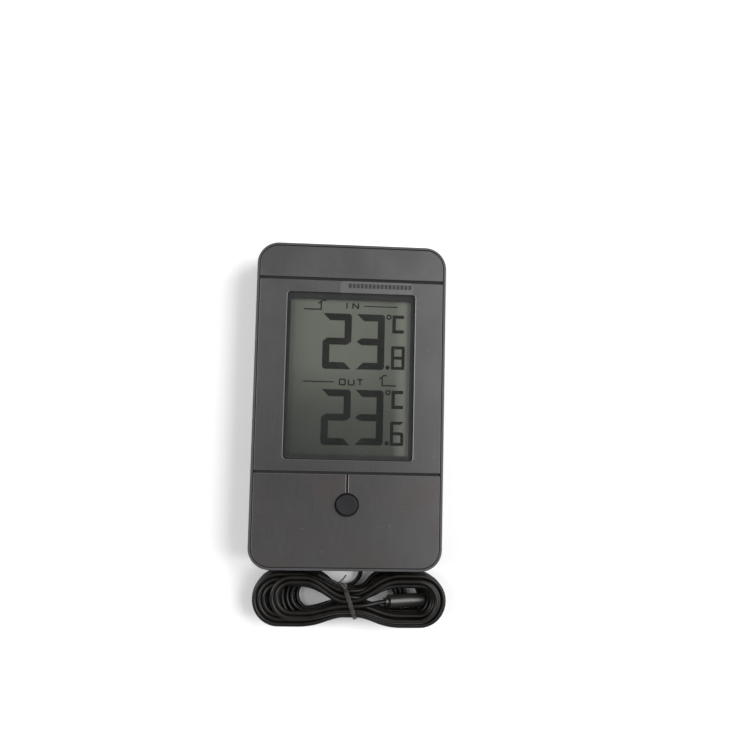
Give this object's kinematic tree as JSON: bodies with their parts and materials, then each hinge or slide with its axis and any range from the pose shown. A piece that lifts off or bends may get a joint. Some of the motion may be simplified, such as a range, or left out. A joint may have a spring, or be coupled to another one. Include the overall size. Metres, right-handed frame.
{
  "type": "maximum minimum thermometer",
  "caption": "Slim upright digital thermometer with a metal front, one round button, a two-row display, a folding stand and an outdoor sensor on a tied cable.",
  "frame": {"origin": "on the plane of the housing's back face, under the middle of the housing", "axes": "+Z out of the front face, +Y towards the top of the thermometer, +X towards the right as one reads it; it lies on its back"},
  "size_m": [0.068, 0.1313, 0.0204],
  "materials": {
    "housing_plastic": "fine moulded texture",
    "face_metal": "brushed, dark anodised, with a bright cut bevel",
    "adhesive": "matt film",
    "lens_clear": "polished clear",
    "film_clear": "glossy thin film",
    "display_glass": "polished",
    "display_ground": "satin polariser",
    "reflector_foil": "satin",
    "display_ink": "satin",
    "inner_plastic": "moulded",
    "zebra_rubber": "striped rubber",
    "board_laminate": "solder mask over glass laminate",
    "chip_resin": "cast resin",
    "crystal_can": "drawn metal can",
    "component_ceramic": "fired ceramic",
    "thermistor_bead": "dipped resin",
    "switch_plastic": "moulded",
    "button_plastic": "satin moulded",
    "battery_sleeve": "plain wrapped sleeve and plated ends",
    "contact_metal": "nickel plated",
    "lead_red": "soft jacket",
    "lead_black": "soft jacket",
    "screw_steel": "zinc plated",
    "grommet_rubber": "soft rubber",
    "cable_jacket": "satin soft jacket",
    "tie_plastic": "plastic coated wire",
    "probe_plastic": "moulded sleeve"
  },
  "bodies": {
    "housing": {"rear_housing": "housing_plastic", "front_housing": "housing_plastic", "top_plate": "face_metal", "display_plate": "face_metal", "lower_plate": "face_metal", "plate_adhesive": "adhesive", "display_lens": "lens_clear", "protective_film": "film_clear", "lcd_front_glass": "display_glass", "lcd_rear_glass": "display_ground", "lcd_reflector": "reflector_foil", "lcd_segments": "display_ink", "lcd_holder": "inner_plastic", "zebra_strip_top": "zebra_rubber", "zebra_strip_bottom": "zebra_rubber", "circuit_board": "board_laminate", "controller_chip": "chip_resin", "clock_crystal": "crystal_can", "board_components": "component_ceramic", "indoor_thermistor": "thermistor_bead", "switch_body": "switch_plastic", "battery": "battery_sleeve", "battery_contact_positive": "contact_metal", "battery_contact_negative": "contact_metal", "battery_spring": "contact_metal", "battery_lead_positive": "lead_red", "battery_lead_negative": "lead_black", "case_screws": "screw_steel", "board_screws": "screw_steel", "cable_grommet": "grommet_rubber", "sensor_leads": "lead_black", "sensor_cable": "cable_jacket", "cable_hank": "cable_jacket", "twist_tie": "tie_plastic", "sensor_probe": "probe_plastic"},
    "button": {"button": "button_plastic"},
    "switch_plunger": {"switch_plunger": "switch_plastic"},
    "stand": {"stand": "housing_plastic"},
    "battery_door": {"battery_door": "housing_plastic"}
  },
  "joints": [
    {"name": "button_press", "type": "slide", "parent": "housing", "child": "button", "axis": [0, 0, -1], "range_m": [0, 0.0005], "stiffness_N_per_m": 400, "springref_m": -0.0005},
    {"name": "plunger_press", "type": "slide", "parent": "housing", "child": "switch_plunger", "axis": [0, 0, -1], "range_m": [0, 0.0005]},
    {"name": "stand_fold", "type": "hinge", "parent": "housing", "child": "stand", "pos_m": [0, 0.0145, 0.0015], "axis": [1, 0, 0], "range_deg": [0, 40]},
    {"name": "battery_door_open", "type": "hinge", "parent": "housing", "child": "battery_door", "pos_m": [0, 0.0431, 0.001], "axis": [-1, 0, 0], "range_deg": [0, 80]}
  ],
  "couplings": [
    {"joint": "plunger_press", "follows": "button_press", "ratio": 1}
  ]
}
